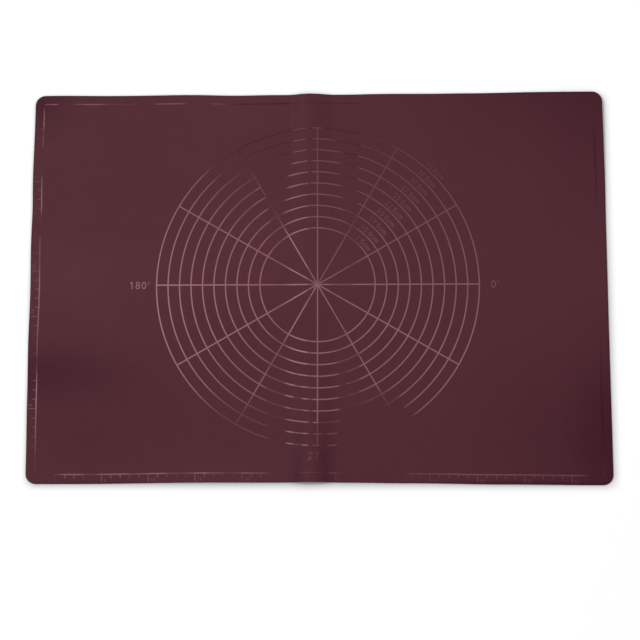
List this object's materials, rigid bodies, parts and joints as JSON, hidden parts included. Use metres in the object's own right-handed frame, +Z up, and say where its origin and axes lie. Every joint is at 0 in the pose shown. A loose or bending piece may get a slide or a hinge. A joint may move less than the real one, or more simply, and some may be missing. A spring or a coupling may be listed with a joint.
{
  "type": "silicone baking mat",
  "caption": "Rectangular silicone baking mat with rounded corners, a printed chart of circles and angle lines, a border line and centimetre rulers, lying with a low fold ridge.",
  "frame": {"origin": "on the worktop under the centre of the chart, which is the centre of the mat's outline", "axes": "+X along the long side, towards the end away from the left ruler; +Y from the front edge, which has the other ruler, to the back edge; +Z up out of the printed face"},
  "size_m": [0.627, 0.428, 0.006],
  "materials": {
    "mat_silicone": "matt burgundy silicone",
    "ink_film": "glossy silicone ink, a lighter tone of the mat's own colour"
  },
  "bodies": {
    "root": {"mat_sheet": "mat_silicone", "border_line": "ink_film", "front_ruler_ticks": "ink_film", "left_ruler_ticks": "ink_film", "chart_hub": "ink_film", "chart_circle_1": "ink_film", "chart_circle_2": "ink_film", "chart_circle_3": "ink_film", "chart_circle_4": "ink_film", "chart_circle_5": "ink_film", "chart_circle_6": "ink_film", "chart_circle_7": "ink_film", "chart_circle_8": "ink_film", "chart_circle_9": "ink_film", "chart_circle_10": "ink_film", "angle_line_0_deg": "ink_film", "angle_line_30_deg": "ink_film", "angle_line_60_deg": "ink_film", "angle_line_90_deg": "ink_film", "angle_line_120_deg": "ink_film", "angle_line_150_deg": "ink_film", "angle_line_180_deg": "ink_film", "angle_line_210_deg": "ink_film", "angle_line_240_deg": "ink_film", "angle_line_270_deg": "ink_film", "angle_line_300_deg": "ink_film", "angle_line_330_deg": "ink_film"}
  },
  "joints": []
}
